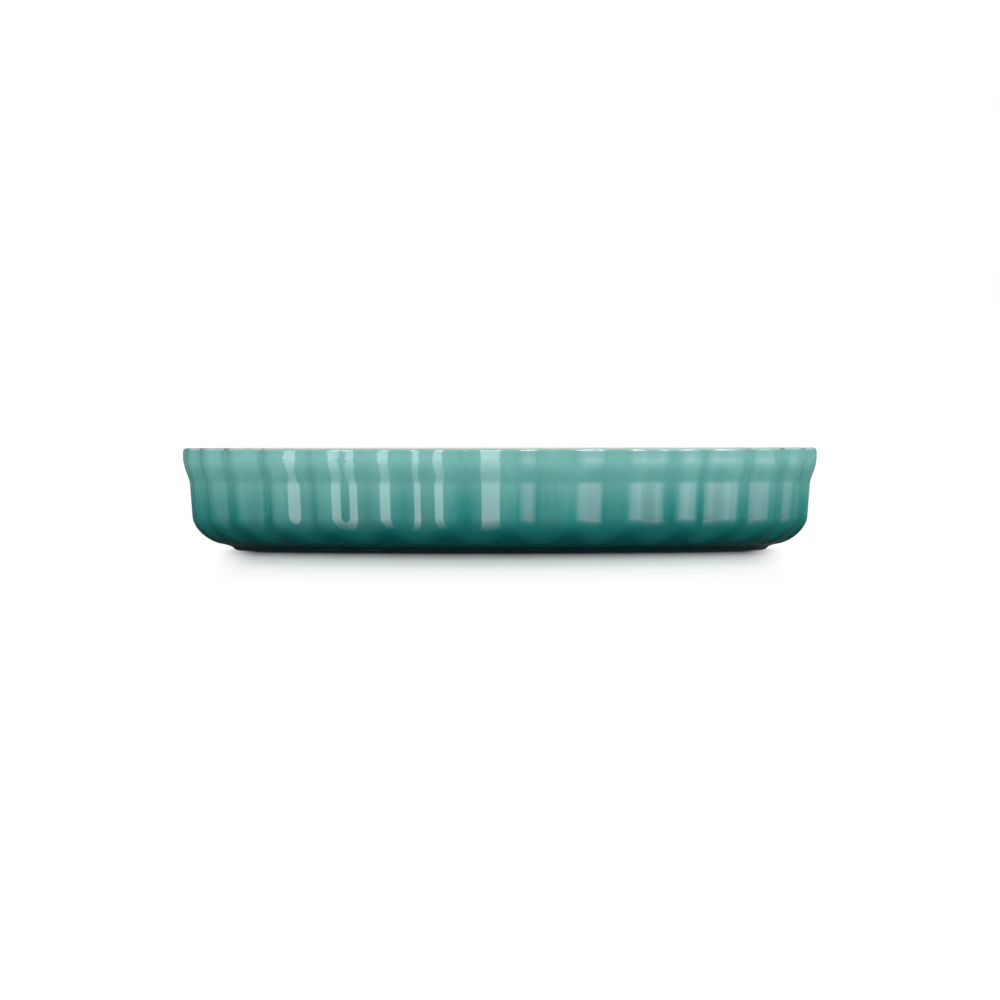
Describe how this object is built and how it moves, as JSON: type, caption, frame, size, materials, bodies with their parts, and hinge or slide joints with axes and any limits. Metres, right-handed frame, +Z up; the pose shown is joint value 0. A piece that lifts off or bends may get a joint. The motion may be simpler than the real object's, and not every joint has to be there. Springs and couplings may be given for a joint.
{
  "type": "tart dish",
  "caption": "Round fluted stoneware tart dish with an upright lip, rounded lower edge and low foot ring, teal glaze outside and pale glaze inside, for baking and serving tarts.",
  "frame": {"origin": "centre of the foot ring, on the plane that the dish stands on", "axes": "+Z up along the axis of the dish; -Y through the middle of a crease between two flutes"},
  "size_m": [0.2796, 0.2792, 0.045],
  "materials": {
    "stoneware": "bare fired clay",
    "teal_glaze": "gloss",
    "cream_glaze": "gloss"
  },
  "bodies": {
    "root": {"stoneware_body": "stoneware", "outer_glaze": "teal_glaze", "inner_glaze": "cream_glaze", "base_glaze": "teal_glaze"}
  },
  "joints": []
}
